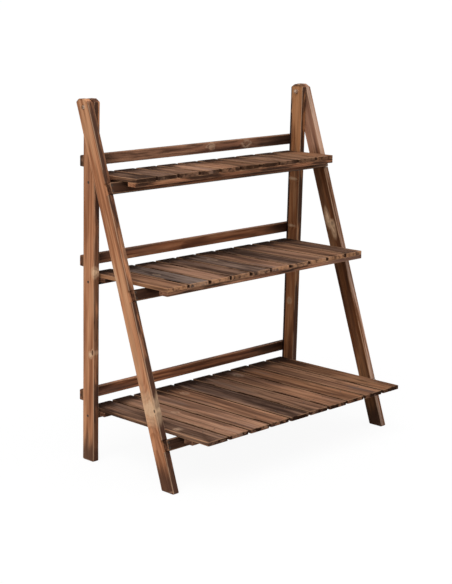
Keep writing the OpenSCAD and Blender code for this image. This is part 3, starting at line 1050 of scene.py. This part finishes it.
def hexReach(half):
    return lambda angle: half / math.cos((angle % (math.pi / 3)) - math.pi / 6)


def crossReach(half, tip):
    def radius(angle):
        fold = abs((angle + math.pi / 4) % (math.pi / 2) - math.pi / 4)
        return min(tip / math.cos(fold), half / max(math.sin(fold), 1e-6))
    return radius


def finishSteel(bm, steel, node, body):
    bmesh.ops.recalc_face_normals(bm, faces=bm.faces[:])
    piece = meshPiece(node + "_steel", bm)
    piece.data.materials.append(steels[steel])
    piece.data.shade_smooth()
    piece.data.set_sharp_from_angle(angle=math.radians(sharpFromDeg))
    register(piece, node, body)


def onPivot(sign, x):
    return pointing((sign * x, pivot.y, pivot.z), (sign, 0, 0))


def uprightFaces(side):  # distance of its inner and its outer face from the middle of the stand
    return sorted(abs(c.x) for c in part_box("rear_upright_" + side))


def boltProfile(length):
    look = boltLook
    shaft, head, height = look["radius"], look["headRadius"], look["headHeight"]
    valley, socket = shaft - look["threadDepth"], look["socketRadius"]
    turn = ((valley, look["valleyShare"]), (shaft, look["crestShare"]))
    threadTop = look["nutHeight"] + look["tail"] + look["threadBeyondNut"] - length
    thread, z = threadProfile(-length, threadTop, look["threadPitch"], turn)
    dome = [(head * math.sqrt(1 - (share * look["domeRound"]) ** 2), height * share - height)
            for share in look["domeShares"]]
    return [
        (valley - look["threadDepth"], -length),
        *thread,
        (shaft, z + look["threadRunOut"]),
        (shaft, -height), (head * look["flangeShare"], -height),
        *dome,
        (head * look["crownShare"], 0),
        (hexReach(socket * look["socketMouthShare"]), -look["socketRim"]),
        (hexReach(socket * look["socketFloorShare"]), -look["socketDepth"]),
    ]


def makeBolt(side):
    look = boltLook
    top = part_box("front_leg_right")[1].x - look["headSink"]
    tail = uprightFaces(side)[0] - look["washerThick"] - look["nutHeight"] - look["tail"]
    bm = bmesh.new()
    stack(bm, turned("bolt", boltProfile(top - tail)), onPivot(sides[side], top))
    finishSteel(bm, "zincSteel", "pivot_bolt_" + side, "rear_frame")


def makeWashers():
    look = boltLook
    edge, wide = look["washerEdge"], look["washerRadius"]
    hole, thick = look["washerBore"], look["washerThick"]
    rings = turned("washer", [(hole, 0), (wide - edge, 0), (wide, edge), (wide, thick - edge),
                              (wide - edge, thick), (hole, thick)])
    bm = bmesh.new()
    for side, sign in sides.items():
        inner, outer = uprightFaces(side)
        for x in (outer, inner - thick):
            stack(bm, rings, onPivot(sign, x), closed=True)
    finishSteel(bm, "zincSteel", "pivot_washers", "rear_frame")


def makeNuts():
    look = boltLook
    height, outline = look["nutHeight"], hexReach(look["nutHalf"])
    chamfer, slope = look["nutHalf"] * look["chamferShare"], math.tan(math.radians(look["chamferDeg"]))
    hole = look["radius"] + look["nutRoom"]
    mouth = hole * look["nutMouthShare"]
    rings = turned("nut", [
        (hole, 0), (mouth, 0), (chamfer, 0),
        (outline, lambda angle: (outline(angle) - chamfer) * slope),
        (outline, lambda angle: height - (outline(angle) - chamfer) * slope),
        (chamfer, height), (mouth, height), (hole, height),
    ])
    bm = bmesh.new()
    for side, sign in sides.items():
        x = uprightFaces(side)[0] - look["washerThick"] - height
        stack(bm, rings, onPivot(sign, x), closed=True)
    finishSteel(bm, "zincSteel", "pivot_nuts", "rear_frame")


def screwProfile(length):
    look = screwLook
    head, shank, sink = look["headRadius"], look["radius"], look["sink"]
    core, neck = shank * look["coreShare"], shank * look["neckShare"]
    cross = crossReach(look["crossHalf"], look["crossReach"])
    turn = ((core, 0), (shank, look["crestShare"]), (core, look["valleyShare"]))
    start, end = look["plainTip"] - length, -length * look["neckLengthShare"]
    thread, z = threadProfile(start, end, look["threadPitch"], turn)
    return [
        (shank * look["tipShare"], -length), (core, look["tipLength"] - length),
        *thread,
        (neck, z), (neck, -look["headHeight"] - sink),
        (head, -sink - look["headEdge"]), (head, -sink),
        (look["crossReach"] * look["crossRimShare"], -sink),
        (cross, -sink),
        (lambda angle: cross(angle) * look["crossFloorShare"], -sink - look["crossDepth"]),
    ]


def makeScrews(node, tops, length, body):
    bm = bmesh.new()
    rings = turned("screw", screwProfile(length))
    for top, outward in tops:
        stack(bm, rings, pointing(top, outward))
    finishSteel(bm, "darkSteel", node, body)


def railScrewTops(prefix):
    tops = []
    for tier in tiers:
        place = axes((1, 0, 0), railKinds[prefix]["up"], middleOf(prefix + tier))
        for top, inward in railScrews(prefix):
            tops.append((place @ Vector(top), place.to_3x3() @ -Vector(inward)))
    return tops


def nailProfile():
    look = nailLook
    shank, head, length = look["shank"], look["headRadius"], look["length"]
    dome = [(head * wide, look["proud"] * high) for wide, high in look["domeShares"]]
    return [
        (shank * look["tipShare"], -length), (shank, look["tipLength"] - length),
        (shank, -look["neck"]), (head, -look["headUnder"]),
        *dome,
    ]


def makeNails(tier):
    bm = bmesh.new()
    rings = turned("nail", nailProfile())
    for index in range(1, slatsPerShelf + 1):
        low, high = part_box(f"slat_{tier}_{index}")
        for prefix in ("front_batten_", "rear_batten_"):
            y, z = middleOf(prefix + tier).y, high.z - nailLook["sink"]
            for k in (-1, 1):
                x = (low.x + high.x) / 2 + k * nailLook["apart"] / 2
                stack(bm, rings, pointing((x, y, z), (0, 0, 1)))
    finishSteel(bm, "darkSteel", "slat_nails_" + tier, tier + "_shelf")


for side in sides:
    makeBolt(side)
makeWashers()
makeNuts()
for prefix in ("back_rail_", "front_rail_"):
    makeScrews(prefix + "screws", railScrewTops(prefix), screwLook["length"], railKinds[prefix]["body"])
makeScrews("bearer_screws", [(top, (sides[side], 0, 0)) for side in sides for top in bearerScrewTops(side)],
           screwLook["bearerLength"], "rear_frame")
for tier in tiers:
    makeNails(tier)
print("fasteners: bolts, washers, nuts, screws and nails")
